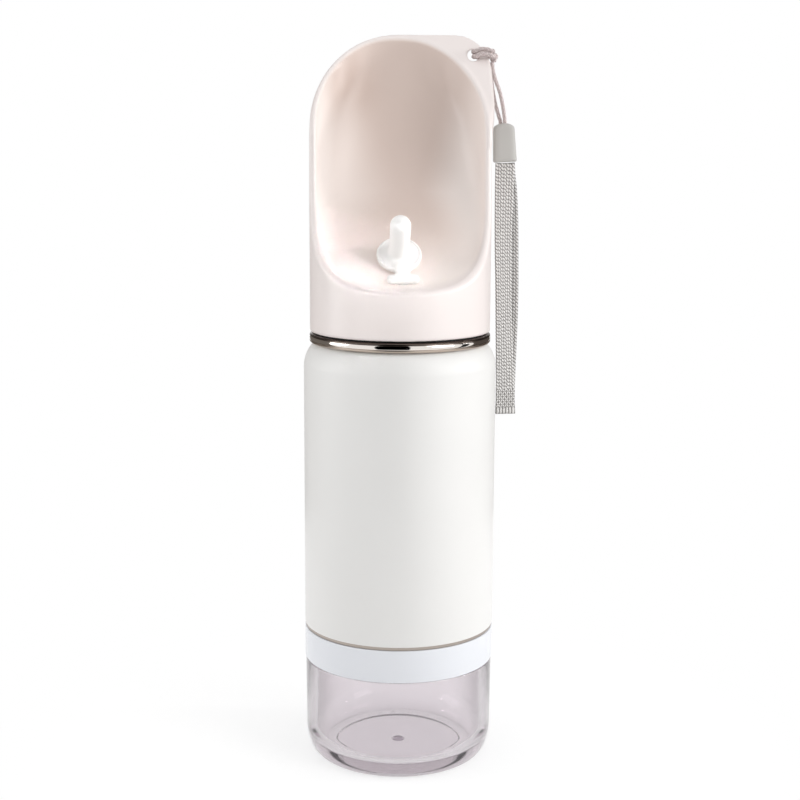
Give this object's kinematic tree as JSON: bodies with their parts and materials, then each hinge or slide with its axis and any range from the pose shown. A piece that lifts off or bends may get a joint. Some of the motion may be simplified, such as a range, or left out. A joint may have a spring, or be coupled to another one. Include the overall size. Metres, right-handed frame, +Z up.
{
  "type": "dog travel water bottle",
  "caption": "Insulated steel bottle with a screw-on drinking scoop and tethered plug, a clear food cup screwed under its base, and a wrist lanyard.",
  "frame": {"origin": "centre of the flat foot of the clear cup, on the surface the bottle stands on", "axes": "+Z up along the bottle's axis; the scoop opens towards -Y; the lanyard lug is on +X"},
  "size_m": [0.0841, 0.072, 0.2751],
  "materials": {
    "painted_steel": "matt powder coat",
    "bare_steel": "spun",
    "polished_ring": "polished",
    "scoop_plastic": "satin",
    "collar_plastic": "gloss",
    "clear_plastic": "clear, polished",
    "silicone": "matt, slightly translucent",
    "round_cord": "braided",
    "webbing": "flat braid",
    "clamp_plastic": "matt",
    "seal_glass": "fused",
    "getter_metal": "plain"
  },
  "bodies": {
    "cup": {"food_cup": "clear_plastic"},
    "cup_seal": {"cup_gasket": "silicone"},
    "bottle": {"base_collar": "collar_plastic", "base_cap": "bare_steel", "vacuum_seal": "seal_glass", "getter_pack": "getter_metal", "outer_shell": "painted_steel", "inner_liner": "bare_steel", "liner_bottom": "bare_steel", "neck_ring": "polished_ring"},
    "head_seal": {"neck_gasket": "silicone"},
    "head": {"scoop_head": "scoop_plastic", "plug_anchor": "silicone", "lanyard_knot": "round_cord"},
    "plug": {"outlet_plug": "silicone", "plug_tether": "silicone"},
    "lanyard": {"lanyard_cord": "round_cord", "cord_clamp": "clamp_plastic", "wrist_strap": "webbing"}
  },
  "joints": [
    {"name": "bottle_lift", "type": "slide", "parent": "cup", "child": "cup_seal", "axis": [0, 0, 1], "range_m": [0, 0.00626]},
    {"name": "bottle_turn", "type": "hinge", "parent": "cup_seal", "child": "bottle", "pos_m": [0, 0, 0.045], "axis": [0, 0, 1], "range_deg": [0, 450]},
    {"name": "head_lift", "type": "slide", "parent": "bottle", "child": "head_seal", "axis": [0, 0, 1], "range_m": [0, 0.00876]},
    {"name": "head_turn", "type": "hinge", "parent": "head_seal", "child": "head", "pos_m": [0, 0, 0.17], "axis": [0, 0, 1], "range_deg": [0, 630]},
    {"name": "plug_open", "type": "hinge", "parent": "head", "child": "plug", "pos_m": [0, -0.01896, 0.18646], "axis": [1, 0, 0], "range_deg": [0, 85]},
    {"name": "lanyard_swing", "type": "hinge", "parent": "head", "child": "lanyard", "pos_m": [0.0365, 0.026, 0.2653], "axis": [0, -1, 0], "range_deg": [0, 150]}
  ],
  "couplings": [
    {"joint": "bottle_lift", "follows": "bottle_turn", "m_per_rad": 0.00079577},
    {"joint": "head_lift", "follows": "head_turn", "m_per_rad": 0.00079577}
  ]
}
